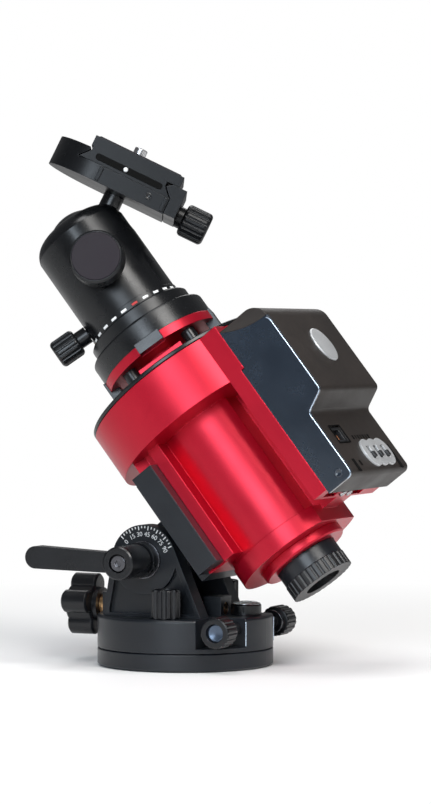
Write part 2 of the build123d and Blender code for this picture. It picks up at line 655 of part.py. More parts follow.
def make_electronics():
    with BuildPart(HEAD) as circuit_board:
        block(44.0, 45.6, -28, 28, -91, -50)
        block(45.6, 47.4, -6, 6, -80, -68)
        block(45.6, 48.2, 12, 20, -88, -80)
        block(45.6, 47.0, -24, -14, -62, -56)
    save(circuit_board, "circuit_board")
    with BuildPart(HEAD) as battery_pack:
        block(56.1, 63.4, -27, 12, -51.5, -14)
        fillet(battery_pack.edges(), 0.8)
    save(battery_pack, "battery_pack")
    with BuildPart(HEAD) as drive_motor:
        rod_y(MOTOR_R, MOTOR_U, MOTOR_A, -20, 12)
        rod_y(2.0, MOTOR_U, MOTOR_A, 12, 12.6)
    save(drive_motor, "drive_motor")


def make_fine_worm():
    turns = 8
    # the helix starts on the +a side; three quarters of a turn later it faces the wheel
    start_v = -(turns / 2 - 1 + 0.75) * FINE_PITCH
    with BuildPart(HEAD) as ra_worm:
        with BuildLine(HEAD) as thread_path:
            Helix(
                pitch=FINE_PITCH,
                height=turns * FINE_PITCH,
                radius=FINE_ROOT_R,
                center=(FINE_U, start_v, WHEEL_A),
                direction=(0, 1, 0),
            )
        start = thread_path.line @ 0
        radial = (start - HEAD.from_local_coords(Vector(FINE_U, start_v, WHEEL_A))).normalized()
        with BuildSketch(Plane(origin=start, x_dir=radial, z_dir=thread_path.line % 0)):
            with BuildLine():
                Polyline((-0.25, -0.42), (1.05, -0.16), (1.05, 0.16), (-0.25, 0.42), close=True)
            make_face()
        sweep(is_frenet=True)
        rod_y(FINE_ROOT_R, FINE_U, WHEEL_A, -7.9, 7.9)
        rod_y(FINE_JOURNAL_R, FINE_U, WHEEL_A, -12.4, PULLEY_V1)
        rod_y(PULLEY_R, FINE_U, WHEEL_A, PULLEY_V0, PULLEY_V1)
    save(ra_worm, "ra_worm")


def make_belt_drive():
    with BuildPart(HEAD) as motor_pulley:
        rod_y(PULLEY_R, MOTOR_U, MOTOR_A, PULLEY_V0, PULLEY_V1)
        rod_y(1.5, MOTOR_U, MOTOR_A, 12.7, PULLEY_V0)
    save(motor_pulley, "motor_pulley")
    belt_low = PULLEY_V0 + 0.6
    loops = []
    for radius in (PULLEY_R + PLAY + BELT_T, PULLEY_R + PLAY):
        with BuildSketch() as loop:
            with Locations((FINE_U, WHEEL_A), (MOTOR_U, MOTOR_A)):
                Circle(radius)
            make_hull()
        loops.append(side_plane(belt_low).location * loop.sketch)
    with BuildPart() as drive_belt:
        extrude(loops[0], amount=-3.8)
        extrude(loops[1], amount=-3.8, mode=Mode.SUBTRACT)
    save(drive_belt, "drive_belt")


def make_case_fittings():
    face = CASE_STEP_U
    with BuildPart(HEAD) as guide_port:
        block(48.2, 54.2, -25.3, -12.7, -76.3, -67.7)
        block(49.8, 54.2, -23.4, -14.6, -75.0, -69.4, Mode.SUBTRACT)
    save(guide_port, "guide_port")
    with BuildPart(HEAD) as switch_plate:
        plate = Plane(HEAD.location * Pos(face + 0.02, 9, -84) * Rotation(0, 90, 0) * Rotation(0, 0, 90))
        with BuildSketch(plate):
            for x in (-8.5, 0, 8.5):
                with Locations((x, 0)):
                    Circle(7.4)
        extrude(amount=1.1)
        for v in (0.5, 9, 17.5):
            block(face - 1, face + 3, v - 1.8, v + 1.8, -87.5, -80.5, Mode.SUBTRACT)
    save(switch_plate, "switch_plate")
    names = ("power_switch", "speed_switch", "hemisphere_switch")
    for name, v in zip(names, (0.5, 9, 17.5)):
        with BuildPart(HEAD) as switch:
            block(face + 0.1, face + 0.6, v - 1.7, v + 1.7, -87.4, -83.6)
            block(face + 0.5, face + 2.2, v - 1.4, v + 1.4, -86.9, -84.1)
        save(switch, name)


def make_polar_scope():
    with BuildPart(HEAD) as scope_tube:
        rod(SCOPE_R, 0, 0, -103.1, -12)
        rod(SCOPE_BODY_R, 0, 0, -110.0, -103.1)
        rod(13.5, 0, 0, -113.0, -110.0)
        rod(10.0, 0, 0, -113.0, -12, Mode.SUBTRACT)
    save(scope_tube, "scope_tube")
    with BuildPart(HEAD) as scope_lenses:
        for low, high in ((-17.0, -13.5), (-96.0, -94.5), (-111.5, -108.5)):
            rod(9.95, 0, 0, low, high)
    save(scope_lenses, "scope_lenses")
    with BuildPart(HEAD) as focus_ring:
        extrude(fluted_disc(HEAD.offset(-117.0), SCOPE_RING_R, 0.8, 0.25, 30), amount=6.9)
        rod(13.5 + PLAY, 0, 0, -113.1, -110, Mode.SUBTRACT)
        rod(9.0, 0, 0, -117.1, -113, Mode.SUBTRACT)
    save(focus_ring, "focus_ring")


# ---------------------------------------------------------------- polar axis


def make_polar_axis():
    flange_low, flange_high = WHEEL_A + WHEEL_FACE / 2 + 0.05, -8.9
    with BuildPart(HEAD) as ra_shaft:
        rod(SHAFT_R, 0, 0, -95.9, flange_low)
        rod(26.0, 0, 0, flange_low, flange_high)
        rod(SHAFT_BORE_R, 0, 0, -96, flange_high, Mode.SUBTRACT)
    save(ra_shaft, "ra_shaft")
    pitch_deg = 360 / WHEEL_TEETH
    teeth = gear_points(WHEEL_TEETH, pitch_deg, pitch_deg / 2, WHEEL_R - 0.65, WHEEL_R + 0.4, 0.95, 0.34)
    wheel_low = WHEEL_A - WHEEL_FACE / 2
    with BuildPart(HEAD) as worm_wheel:
        with BuildSketch(HEAD.offset(wheel_low)):
            with BuildLine():
                Polyline(*teeth, close=True)
            make_face()
        extrude(amount=WHEEL_FACE)
        rod(18.5, 0, 0, DRUM_FLOOR_A + GAP, wheel_low)
        rod(SHAFT_R + 0.02, 0, 0, DRUM_FLOOR_A, -12, Mode.SUBTRACT)
        with Locations((0, 0, wheel_low)):
            with PolarLocations(26.5, 6):
                Cylinder(5.0, WHEEL_FACE, align=BOTTOM, mode=Mode.SUBTRACT)
    save(worm_wheel, "worm_wheel")
    with BuildPart(HEAD) as rim_disc:
        rod(DRUM_R, 0, 0, 0, 2.0)
        chamfer(big_rims(rim_disc, DRUM_R), 0.4)
        rod(26.0, 0, 0, flange_high + 0.02, 0)
        rod(SHAFT_BORE_R, 0, 0, -9, 2, Mode.SUBTRACT)
    save(rim_disc, "rim_disc")


def make_top_saddle():
    with BuildPart(CROWN) as top_saddle:
        rod(19.0, 0, 0, 2.05, 5.5)
        block(-12, 12, -25, 25, 5.5, 9.0)
        block(-28, 28, -12, 12, 5.5, 9.0)
        rod(13.0, 0, 0, 9.0, 14.0)
        rod(CROWN_R, 0, 0, 14.0, CROWN_LOW - 0.02)
        for angle in (0, 90, 180, 270):
            with Locations((0, 0, 13)):
                with Locations(Rotation(0, 0, angle)):
                    with Locations((CROWN_R, 0, 3)):
                        Box(10.4, 13.5, 6, mode=Mode.SUBTRACT)
        rod(STUD_R + PLAY, 0, 0, 2, 19, Mode.SUBTRACT)
        with PolarLocations(23.5, 4, start_angle=45):
            with Locations((0, 0, 13)):
                Cylinder(2.65, 8, align=BOTTOM, mode=Mode.SUBTRACT)
    save(top_saddle, "top_saddle")
    with BuildPart(CROWN) as saddle_posts:
        with PolarLocations(23.5, 4, start_angle=45):
            with Locations((0, 0, 2.05)):
                Cylinder(3.6, 11.9, align=BOTTOM)
            with Locations((0, 0, 13.9)):
                Cylinder(2.6, 4.5, align=BOTTOM)
    save(saddle_posts, "saddle_posts")


def make_adapter():
    with BuildPart(CROWN) as adapter_disc:
        rod(CROWN_R, 0, 0, CROWN_LOW, CROWN_TOP)
        fillet(adapter_disc.edges().group_by(Axis((0, 0, 0), tuple(HEAD.z_dir)))[-1], 1.2)
        for angle, low in ((0, 14.3), (90, 6.0), (180, 14.3), (270, 6.0)):
            height = CROWN_LOW + 1 - low
            with Locations(Rotation(0, 0, angle)):
                with Locations((CROWN_R - 2.3, 0, low + height / 2)):
                    Box(5.4, 13.3, height)
        rod(STUD_R + PLAY, 0, 0, 14, 30, Mode.SUBTRACT)
    save(adapter_disc, "adapter_disc")
    with BuildPart(HEAD) as adapter_stud:
        rod(STUD_R, 0, 0, 8, 39.0)
        chamfer(big_rims(adapter_stud, STUD_R), 0.8)
    save(adapter_stud, "adapter_stud")


# ---------------------------------------------------------------- ball head


def make_pan_base():
    with BuildPart(HEAD) as pan_base:
        rod(26.6, 0, 0, CROWN_TOP + 0.02, 36.0)
        chamfer(big_rims(pan_base, 26.6), 0.8)
        rod(23.6, 0, 0, 36.0, HEAD_LOW - GAP)
        rod(PAN_PIN_R, 0, 0, HEAD_LOW - GAP, 50.0)
        rod(STUD_R + PLAY, 0, 0, CROWN_TOP, 39.2, Mode.SUBTRACT)
    save(pan_base, "pan_base")


def make_ball_housing():
    with BuildPart(NOTCH) as ball_housing:
        low = HEAD_LOW - BALL_A
        with BuildSketch(NOTCH.location * Location(Plane.XZ)):
            with BuildLine():
                Polyline((0, low), (HEAD_BODY_R, low), (HEAD_BODY_R, HEAD_SHOULDER - BALL_A - 1))
                ThreePointArc(
                    (HEAD_BODY_R, HEAD_SHOULDER - BALL_A - 1),
                    (20.9, HEAD_SHOULDER - BALL_A + 3.2),
                    (MOUTH_R + 1.6, HEAD_MOUTH - BALL_A),
                )
                Line((MOUTH_R + 1.6, HEAD_MOUTH - BALL_A), (0, HEAD_MOUTH - BALL_A))
                Line((0, HEAD_MOUTH - BALL_A), (0, low))
            make_face()
        revolve(axis=Axis(NOTCH.origin, NOTCH.z_dir))
        with Locations((0, 0, 0)):
            Sphere(BALL_R + 0.1, mode=Mode.SUBTRACT)
        rod(BALL_R + 0.1, 0, 0, 56 - BALL_A, 0, Mode.SUBTRACT)
        rod(PAN_PIN_R + PLAY, 0, 0, low, 50.1 - BALL_A, Mode.SUBTRACT)
        # drop notch
        half = STEM_R + 0.7
        block(0, 30, -half, half, 0, 20, Mode.SUBTRACT)
        with Locations((0, 0, 0)):
            Cylinder(half, 30, rotation=ALONG_X, align=BOTTOM, mode=Mode.SUBTRACT)
        # main knob on the lever's side, pan knob away from the notch
        turn = KNOB_DEG - NOTCH_DEG
        with Locations(Pos(0, 0, MAIN_KNOB_A - BALL_A) * Rotation(0, 0, turn) * Rotation(90, 0, 0)):
            Cylinder(3.05, 30, align=BOTTOM, mode=Mode.SUBTRACT)
        with Locations(Pos(0, 0, PAN_KNOB_A - BALL_A) * Rotation(0, 0, turn) * Rotation(0, -90, 0)):
            Cylinder(2.55, 30, align=BOTTOM, mode=Mode.SUBTRACT)
    save(ball_housing, "ball_housing")
    with BuildPart(NOTCH) as ball_seat:
        rod(BALL_R, 0, 0, 57 - BALL_A, 68 - BALL_A)
        rod(9.0, 0, 0, 56 - BALL_A, 70 - BALL_A, Mode.SUBTRACT)
        with Locations((0, 0, 0)):
            Sphere(BALL_R + PLAY, mode=Mode.SUBTRACT)
    save(ball_seat, "ball_seat")


def make_head_knobs():
    main = Plane(KNOBS.location * Pos(0, 0, MAIN_KNOB_A) * Rotation(90, 0, 0))
    with BuildPart(main) as ball_knob:
        rod(3.0, 0, 0, BALL_R + 0.3, 27)
        rod(7.5, 0, 0, 23.7, 29)
        rod(12.85, 0, 0, 29, 38.0)
        chamfer(big_rims(ball_knob, 12.85), 1.0)
        rod(11.6, 0, 0, 37.0, 38.0, Mode.SUBTRACT)
    save(ball_knob, "ball_knob")
    with BuildPart(main) as ball_knob_cap:
        rod(11.5, 0, 0, 37.05, 38.4)
        rims = ball_knob_cap.edges().filter_by(GeomType.CIRCLE)
        fillet(rims.sort_by(Axis(main.origin, main.z_dir))[-1], 0.5)
    save(ball_knob_cap, "ball_knob_cap")
    pan = Plane(KNOBS.location * Pos(0, 0, PAN_KNOB_A) * Rotation(0, -90, 0))
    seat = pan.offset(29)
    face = fluted_disc(seat, 6.8, 0.8, 0.35, 16)
    with BuildPart(pan) as pan_knob:
        fluted_knob(seat, face, 6.8, 12.6, 2.0)
        rod(2.5, 0, 0, PAN_PIN_R + 0.1, 27)
        rod(4.2, 0, 0, 23.4, 29)
    save(pan_knob, "pan_knob")


def make_ball():
    with BuildPart(STEM) as ball:
        with Locations((0, 0, 0)):
            Sphere(BALL_R)
        rod(STEM_R, 0, 0, 10, CLAMP_H - 0.05)
        with Locations((0, 0, BALL_R - 2)):
            Cone(STEM_R + 0.5, STEM_R, 5, align=BOTTOM)
        rod(3.0, 0, 0, 10, CLAMP_H + 5.9)
    save(ball, "ball")


# ---------------------------------------------------------------- quick-release clamp


def make_clamp():
    with BuildPart(CLAMP) as clamp_body:
        with BuildSketch(CLAMP):
            with Locations((-11, 0)):
                Circle(24)
            with Locations((7, 0)):
                Rectangle(36, 48)
        extrude(amount=14)
        block(-19, 26, -25, 25, 8.0, 15, Mode.SUBTRACT)
        # undercut of the fixed jaw
        with BuildSketch(Plane(CLAMP.location * Pos(0, 25, 0) * Rotation(90, 0, 0))):
            with BuildLine():
                Polyline((-18.9, 8.0), (-18.9, 12.4), (-23.0, 8.0), close=True)
            make_face()
        extrude(amount=50, mode=Mode.SUBTRACT)
        rod(3.05, 0, 0, -1, 6.0, Mode.SUBTRACT)
        with Locations((10, 0, 4)):
            Cylinder(2.55, 20, rotation=ALONG_X, align=BOTTOM, mode=Mode.SUBTRACT)
        for y in (-16, 16):
            with Locations((8, y, 4)):
                Cylinder(1.55, 20, rotation=ALONG_X, align=BOTTOM, mode=Mode.SUBTRACT)
    save(clamp_body, "clamp_body")
    with BuildPart(CLAMP) as clamp_jaw:
        with BuildSketch(Plane(CLAMP.location * Pos(0, 24, 0) * Rotation(90, 0, 0))):
            with BuildLine():
                Polyline(
                    (25.3, 0.4),
                    (31.0, 0.4),
                    (31.0, 14.6),
                    (24.0, 14.6),
                    (21.0, 12.6),
                    (25.3, 8.0),
                    close=True,
                )
            make_face()
        extrude(amount=48)
        with Locations((20, 0, 4)):
            Cylinder(2.55, 20, rotation=ALONG_X, align=BOTTOM, mode=Mode.SUBTRACT)
        for y in (-16, 16):
            with Locations((9, y, 4)):
                Cylinder(1.5, 18, rotation=ALONG_X, align=BOTTOM)
    save(clamp_jaw, "clamp_jaw")
    knob = Plane(CLAMP.location * Pos(0, 0, 4) * Rotation(0, 90, 0))
    seat = knob.offset(34)
    face = fluted_disc(seat, 8.0, 0.9, 0.4, 18)
    with BuildPart(knob) as clamp_knob:
        fluted_knob(seat, face, 8.0, 13, 2.0)
        rod(2.5, 0, 0, 10.5, 33)
        rod(5.2, 0, 0, 31.1, 34)
    save(clamp_knob, "clamp_knob")
    with BuildPart(CLAMP) as camera_plate:
        with BuildSketch(Plane(CLAMP.location * Pos(0, 23, 0) * Rotation(90, 0, 0))):
            with BuildLine():
                Polyline(
                    (-22.0, 8.1),
                    (24.5, 8.1),
                    (20.5, 12.5),
                    (20.5, 14.8),
                    (27.0, 14.8),
                    (27.0, 20.0),
                    (-19.0, 20.0),
                    (-19.0, 14.8),
                    (-18.0, 14.8),
                    (-18.0, 12.5),
                    close=True,
                )
            make_face()
        extrude(amount=46)
        rod(5.6, 2, 0, 8, 11.6, Mode.SUBTRACT)
        rod(3.3, 2, 0, 8, 21, Mode.SUBTRACT)
    save(camera_plate, "camera_plate")
    with BuildPart(CLAMP) as camera_screw:
        rod(5.4, 2, 0, 8.6, 11.5)
        rod(3.0, 2, 0, 11.4, 20.1)
        rod(3.175, 2, 0, 20.1, 25.5)
        rims = camera_screw.edges().filter_by(GeomType.CIRCLE)
        chamfer(rims.sort_by(Axis(CLAMP.origin, CLAMP.z_dir))[-1], 0.4)
        block(-4, 8, -0.8, 0.8, 8, 9.8, Mode.SUBTRACT)
    save(camera_screw, "camera_screw")


# ---------------------------------------------------------------- run
if __name__ == "__main__":
    os.makedirs("parts", exist_ok=True)
    make_tripod_disc()
    make_azimuth_post()
    make_pivot_bolt()
    make_wedge_base()
    make_level()
    make_azimuth_screw(-1, "azimuth_screw_near")
    make_azimuth_screw(1, "azimuth_screw_far")
    make_azimuth_lock(-1, "azimuth_lock_near")
    make_azimuth_lock(1, "azimuth_lock_far")
    make_altitude_bolt()
    make_lever_parts()
    make_worm_bush()
    make_altitude_worm()
    make_altitude_knob()
    make_altitude_sector()
    make_tilt_saddle()
    make_saddle_jaw()
    make_tracker_housing()
    make_bearings()
    make_scope_collar()
    make_case()
    make_electronics()
    make_fine_worm()
    make_belt_drive()
    make_case_fittings()
    make_polar_scope()
    make_polar_axis()
    make_top_saddle()
    make_adapter()
    make_pan_base()
    make_ball_housing()
    make_head_knobs()
    make_ball()
    make_clamp()
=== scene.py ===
import json
import math

import bmesh
import bpy
from mathutils import Matrix, Vector


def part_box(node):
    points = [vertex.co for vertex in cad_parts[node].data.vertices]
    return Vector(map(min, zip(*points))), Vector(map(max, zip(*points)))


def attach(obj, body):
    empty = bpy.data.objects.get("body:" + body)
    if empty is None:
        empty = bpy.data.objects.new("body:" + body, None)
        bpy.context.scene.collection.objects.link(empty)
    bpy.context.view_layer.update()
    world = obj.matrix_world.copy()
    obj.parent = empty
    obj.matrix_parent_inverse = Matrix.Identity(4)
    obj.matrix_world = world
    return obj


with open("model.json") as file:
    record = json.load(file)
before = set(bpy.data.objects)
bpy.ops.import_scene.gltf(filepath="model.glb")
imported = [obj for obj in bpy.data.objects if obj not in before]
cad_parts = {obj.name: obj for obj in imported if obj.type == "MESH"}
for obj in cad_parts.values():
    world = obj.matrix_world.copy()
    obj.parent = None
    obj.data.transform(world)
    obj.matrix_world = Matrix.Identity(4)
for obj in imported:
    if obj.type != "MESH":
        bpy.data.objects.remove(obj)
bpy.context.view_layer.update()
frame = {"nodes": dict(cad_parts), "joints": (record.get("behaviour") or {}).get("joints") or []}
joints = {joint["name"]: joint for joint in frame["joints"]}
MM = 0.001
TAU = 2 * math.pi
CLAMP_HEIGHT = 28.7  # the clamp's underside, from the ball's centre along the stem
PAINT_LIFT = 0.05  # height of the scale's paint over the arm


# ---------------------------------------------------------------- local frames


def place(origin, z, x):
    """Matrix from millimetres in a local frame to metres in the row frame."""
    z = Vector(z).normalized()
    x = Vector(x)
    x = (x - z * x.dot(z)).normalized()
    matrix = Matrix((x, z.cross(x), z)).transposed().to_4x4()
    matrix.translation = Vector(origin)
    return matrix @ Matrix.Scale(MM, 4)


def facing(base, origin, z, x):
    """A frame inside another one: origin, z and x are in the base frame's millimetres."""
    turn = base.to_3x3()
    return place(base @ Vector(origin), turn @ Vector(z), turn @ Vector(x))


Y_AXIS = Vector((0, 1, 0))
polar = joints["polar_axis_turn"]
up = Vector(polar["axis"])
HEAD = place(polar["pos_m"], up, Y_AXIS.cross(up))
tilt = joints["ball_tilt"]
stem = Vector(joints["camera_rotate"]["axis"])
clamp_foot = Vector(tilt["pos_m"]) + stem * CLAMP_HEIGHT * MM
CLAMP = place(clamp_foot, stem, joints["clamp_jaw_slide"]["axis"])
pivot = Vector(joints["altitude_tilt"]["pos_m"])
arm_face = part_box("lever_washer")[1].y
SCALE = place((pivot.x, arm_face + PAINT_LIFT * MM, pivot.z), (0, -1, 0), (1, 0, 0))
ROW = Matrix.Scale(MM, 4)


# ---------------------------------------------------------------- materials


class Nodes:
    """Small helper that adds linked shader nodes to a material."""

    def __init__(self, name):
        self.material = bpy.data.materials.new(name)
        self.material.use_nodes = True
        self.tree = self.material.node_tree
        self.shader = self.tree.nodes["Principled BSDF"]
        self.coords = self.tree.nodes.new("ShaderNodeTexCoord").outputs["Object"]

    def link(self, source, target):
        """Joins an output socket to an input socket."""
        self.tree.links.new(source, target)

    def add(self, kind, inputs=(), **settings):
        """A node whose inputs are either other nodes' sockets or plain values."""
        node = self.tree.nodes.new(kind)
        for key, value in settings.items():
            setattr(node, key, value)
        for key, value in dict(inputs).items():
            if isinstance(value, bpy.types.NodeSocket):
                self.link(value, node.inputs[key])
            else:
                node.inputs[key].default_value = value
        return node

    def noise(self, size_mm, detail=3.0, stretch=(1, 1, 1)):
        """Noise whose blotches are about size_mm across."""
        mapping = self.add("ShaderNodeMapping", {"Vector": self.coords, "Scale": stretch})
        inputs = {"Vector": mapping.outputs[0], "Scale": 1000 / size_mm, "Detail": detail}
        return self.add("ShaderNodeTexNoise", inputs).outputs["Fac"]

    def scaled(self, value, low, high, from_low=0.3, from_high=0.7):
        """Value from the first range, fitted linearly to low and high."""
        inputs = {"Value": value, "From Min": from_low, "From Max": from_high, "To Min": low, "To Max": high}
        return self.add("ShaderNodeMapRange", inputs).outputs[0]

    def mix(self, factor, first, second):
        """Colour between first and second."""
        node = self.add("ShaderNodeMix", data_type="RGBA")
        for socket, value in ((0, factor), (6, first), (7, second)):
            if isinstance(value, bpy.types.NodeSocket):
                self.link(value, node.inputs[socket])
            else:
                node.inputs[socket].default_value = value
        return node.outputs[2]

    def edges(self, radius_mm):
        """Rounded-edge normal, and a mask that is 1 along the edges."""
        bevel = self.add("ShaderNodeBevel", {"Radius": radius_mm * MM}, samples=6).outputs[0]
        plain = self.add("ShaderNodeNewGeometry").outputs["Normal"]
        dot = self.add("ShaderNodeVectorMath", operation="DOT_PRODUCT")
        self.link(bevel, dot.inputs[0])
        self.link(plain, dot.inputs[1])
        return bevel, self.scaled(dot.outputs["Value"], 1.0, 0.0, 0.88, 0.995)


def tone(colour, factor):
    """A lighter or darker version of a colour, with its alpha."""
    return tuple(min(1.0, c * factor) for c in colour) + (1.0,)


def surface(name, colour, rough, metallic=0.0, vary=0.18, grain=0.02, grain_mm=0.35, edge_mm=0.35, edge_highlight=1.6,
            coat=0.0, stretch=(1, 1, 1), patch_mm=18.0, rough_vary=0.07, specular=0.5):
    """Painted, moulded or machined surface with blotchy colour, fine grain, rounded edges that catch the
    light, and a painted highlight that makes the base colour lighter along the edges.
    """
    n = Nodes(name)
    patch = n.noise(patch_mm, 4.0)
    fine = n.noise(grain_mm, 2.0, stretch)
    body = n.mix(n.scaled(patch, 0, 1), tone(colour, 1 - vary), tone(colour, 1 + vary))
    speckled = n.mix(n.scaled(fine, 0.0, 0.35, 0.45, 0.75), body, tone(colour, 0.6))
    bevel, mask = n.edges(edge_mm)
    # painted highlight: in patches along the edges, the base colour turns lighter by the given factor
    highlit_edges = n.add("ShaderNodeMath", {0: mask, 1: n.scaled(n.noise(3.0), 0.35, 0.9)}, operation="MULTIPLY")
    n.link(n.mix(highlit_edges.outputs[0], speckled, tone(colour, edge_highlight)), n.shader.inputs["Base Color"])
    bump = n.add("ShaderNodeBump", {"Strength": 0.6, "Distance": grain * MM, "Height": fine, "Normal": bevel})
    n.link(bump.outputs[0], n.shader.inputs["Normal"])
    n.link(n.scaled(patch, rough - rough_vary, rough + rough_vary), n.shader.inputs["Roughness"])
    n.shader.inputs["Metallic"].default_value = metallic
    n.shader.inputs["Coat Weight"].default_value = coat
    n.shader.inputs["Coat Roughness"].default_value = 0.12
    n.shader.inputs["Specular IOR Level"].default_value = specular
    return n.material


def glass(name, colour, rough=0.03, alpha=0.45):
    """Clear or tinted glass with faint smears in its gloss."""
    n = Nodes(name)
    smear = n.noise(4.0, 3.0)
    n.link(n.mix(n.scaled(smear, 0, 1), tone(colour, 0.9), tone(colour, 1.0)), n.shader.inputs["Base Color"])
    n.link(n.scaled(smear, rough, rough + 0.08), n.shader.inputs["Roughness"])
    n.shader.inputs["IOR"].default_value = 1.5
    n.shader.inputs["Alpha"].default_value = alpha
    n.shader.inputs["Coat Weight"].default_value = 1.0
    return n.material


def paint(name, colour, vary):
    """Thin printed paint."""
    return surface(name, colour, 0.5, vary=vary, grain=0.02, grain_mm=0.3, edge_highlight=1.0)


MATERIALS = {
    "coat": surface("powder_coat", (0.0085, 0.0105, 0.014), 0.36, grain=0.03, grain_mm=0.5, edge_highlight=3.4,
                    patch_mm=25, specular=0.42),
    "cast": surface("cast_black", (0.005, 0.0055, 0.007), 0.31, grain=0.045, grain_mm=0.7, edge_highlight=3.2,
                    specular=0.42),
    "anodised": surface("black_anodised", (0.0055, 0.006, 0.007), 0.27, 0.2, grain=0.008, grain_mm=0.25,
                        edge_highlight=4.0, specular=0.5),
    "satin": surface("satin_anodised", (0.005, 0.0055, 0.0065), 0.33, 0.1, grain=0.008, grain_mm=0.25,
                     edge_highlight=5.0, specular=0.26),
    "red": surface("red_anodised", (0.47, 0.004, 0.022), 0.33, 0.55, vary=0.06, grain=0.006, grain_mm=0.3,
                   edge_mm=0.5, edge_highlight=1.4, rough_vary=0.04, patch_mm=40),
    "gloss": surface("gloss_moulding", (0.012, 0.019, 0.03), 0.17, grain=0.004, grain_mm=1.2, edge_highlight=2.4,
                     coat=0.5, rough_vary=0.05, edge_mm=0.6),
    "case": surface("textured_moulding", (0.021, 0.016, 0.0135), 0.48, grain=0.04, grain_mm=0.45, edge_highlight=1.4,
                    specular=0.36, edge_mm=0.9),
    "moulded": surface("black_moulding", (0.009, 0.0095, 0.011), 0.4, grain=0.03, grain_mm=0.5, edge_highlight=2.2,
                       edge_mm=0.6),
    "rubber": surface("soft_rubber", (0.0125, 0.009, 0.0135), 0.66, grain=0.05, grain_mm=0.35, edge_highlight=1.6,
                      specular=0.3),
    "steel": surface("turned_steel", (0.55, 0.55, 0.56), 0.28, 1.0, vary=0.08, grain=0.01, grain_mm=0.3,
                     edge_highlight=1.3, stretch=(1, 1, 8)),
    "gunmetal": surface("blued_steel", (0.12, 0.12, 0.13), 0.24, 0.9, vary=0.1, grain=0.01, grain_mm=0.3,
                        edge_highlight=2.2),
    "brass": surface("turned_brass", (0.72, 0.44, 0.22), 0.3, 1.0, vary=0.1, grain=0.01, grain_mm=0.3,
                     edge_highlight=1.2, stretch=(1, 8, 1)),
    "silver": surface("blasted_silver", (0.62, 0.63, 0.64), 0.42, 0.55, vary=0.06, grain=0.05, grain_mm=0.5,
                      edge_highlight=1.15),
    # painted highlight: bright strips laid along edges to show their gloss
    "painted_glint": surface("painted_glint_strip", (0.5, 0.6, 0.72), 0.14, 0.8, vary=0.08, grain=0.004, edge_highlight=1.2),
    "white": paint("white_paint", (0.88, 0.88, 0.87), 0.05),
    "cream": paint("cream_paint", (0.6, 0.42, 0.24), 0.06),
    "red_paint": paint("red_paint", (0.45, 0.02, 0.02), 0.06),
    # flat black for print, and painted shade for the plate's gap and the vents
    "dark": surface("flat_black_and_shade", (0.004, 0.004, 0.004), 0.8, grain=0.02, edge_highlight=1.2, specular=0.08),
    "copper": surface("contact_plate", (0.2, 0.075, 0.03), 0.45, 0.5, vary=0.2, grain=0.02, edge_highlight=1.3),
    "nylon": surface("natural_nylon", (0.7, 0.68, 0.6), 0.45, vary=0.05, grain=0.02, edge_highlight=1.0),
    "board": surface("solder_mask", (0.01, 0.12, 0.04), 0.35, vary=0.15, grain=0.03, grain_mm=0.8, edge_highlight=1.2),
    "sleeve": surface("cell_sleeve", (0.03, 0.09, 0.3), 0.35, vary=0.1, grain=0.03, grain_mm=2.0, edge_highlight=1.2),
    "button": surface("blue_button", (0.09, 0.12, 0.17), 0.28, 0.6, vary=0.1, grain=0.01, edge_highlight=2.0),
    "lens": glass("coated_lens", (0.10, 0.14, 0.2), 0.02, 0.8),
    "vial": glass("clear_vial", (0.85, 0.9, 0.86), 0.03, 0.3),
    "liquid": glass("level_liquid", (0.55, 0.72, 0.16), 0.05, 0.9),
}

# which nodes of the CAD model have which material
FINISH = {
    "coat": "tripod_disc wedge_base tilt_saddle saddle_jaw scope_tube",
    "cast": "pivot_bolt lock_lever azimuth_lock_near azimuth_lock_far azimuth_screw_near azimuth_screw_far "
            "lever_insert altitude_knob",
    "anodised": "rim_disc adapter_disc pan_base ball_housing ball_knob pan_knob ball saddle_posts level_cup",
    "satin": "clamp_body clamp_jaw clamp_knob camera_plate",
    "red": "tracker_housing scope_collar top_saddle",
    "gloss": "case_side_cover",
    "case": "electronics_case",
    "moulded": "guide_port power_switch speed_switch hemisphere_switch focus_ring drive_belt",
    "rubber": "ball_knob_cap",
    "steel": "azimuth_post altitude_bolt altitude_sector jaw_screws ra_bearings drive_motor "
             "ra_worm motor_pulley ra_shaft adapter_stud camera_screw",
    "brass": "worm_bush altitude_worm worm_wheel",
    "silver": "switch_plate",
    "gunmetal": "lever_washer lever_screw",
    "board": "circuit_board",
    "sleeve": "battery_pack",
    "nylon": "ball_seat",
    "lens": "scope_lenses",
    "vial": "level_vial",
}
for finish, names in FINISH.items():
    for name in names.split():
        node = frame["nodes"][name]
        if not node.material_slots:
            node.data.materials.append(None)
        for slot in node.material_slots:
            slot.material = MATERIALS[finish]


# ---------------------------------------------------------------- mesh building

BAR_SIDES = 8  # sides of a round bar
CORNER_STEPS = 5  # steps in a rounded corner
SHARP_ANGLE = math.radians(32)  # faces that meet at more than this angle show an edge


